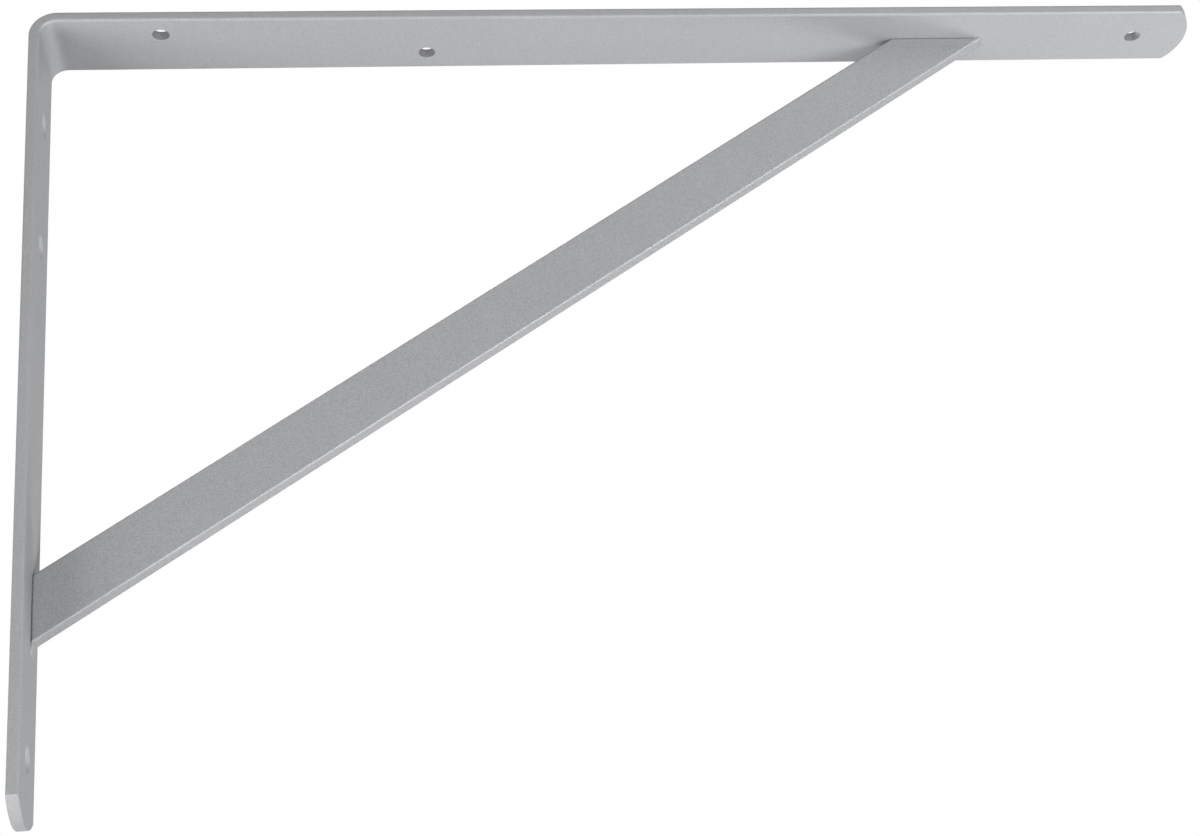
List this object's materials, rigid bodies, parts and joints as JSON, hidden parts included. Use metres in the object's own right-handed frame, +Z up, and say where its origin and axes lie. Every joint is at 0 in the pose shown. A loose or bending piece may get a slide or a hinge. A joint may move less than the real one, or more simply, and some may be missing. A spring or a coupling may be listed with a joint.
{
  "type": "shelf bracket",
  "caption": "Wall bracket for a shelf: flat steel bar bent to a right angle with rounded tips, screw holes in both arms and a welded diagonal flat-bar brace, coated silver grey.",
  "frame": {"origin": "centre of the top wall screw hole, on the face that lies against the wall", "axes": "+X away from the wall along the shelf arm, +Y across the bar towards its rear edge, +Z up towards the shelf"},
  "size_m": [0.44, 0.03, 0.3],
  "materials": {
    "silver_coat": "satin metallic powder coat, silver grey"
  },
  "bodies": {
    "root": {"angle_bar": "silver_coat", "diagonal_brace": "silver_coat", "shelf_weld": "silver_coat", "wall_weld": "silver_coat"}
  },
  "joints": []
}
